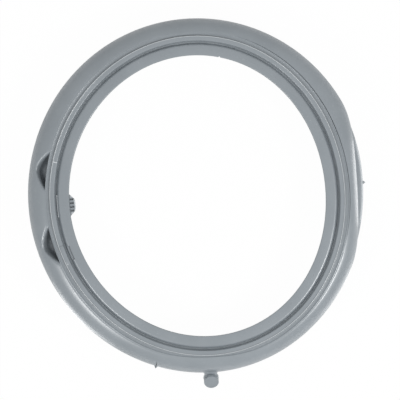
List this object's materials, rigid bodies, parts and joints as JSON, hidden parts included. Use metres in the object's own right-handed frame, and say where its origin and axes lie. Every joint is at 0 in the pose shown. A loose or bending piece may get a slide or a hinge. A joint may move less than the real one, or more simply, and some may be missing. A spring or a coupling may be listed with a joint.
{
  "type": "washing machine door seal",
  "caption": "Moulded rubber bellows that seals a washing machine's door opening, with hinge pockets, a lock flat and a closed spigot.",
  "frame": {"origin": "on the floor that the seal lies on, under the middle of its extents", "axes": "+Z out of the machine towards the door, +Y towards the top of the machine with the spigot at -Y, +X towards the door lock with the hinge pockets at -X"},
  "size_m": [0.3724, 0.4076, 0.0649],
  "materials": {
    "seal_rubber": "semi-matt moulded grey rubber"
  },
  "bodies": {
    "root": {"door_seal": "seal_rubber"}
  },
  "joints": []
}
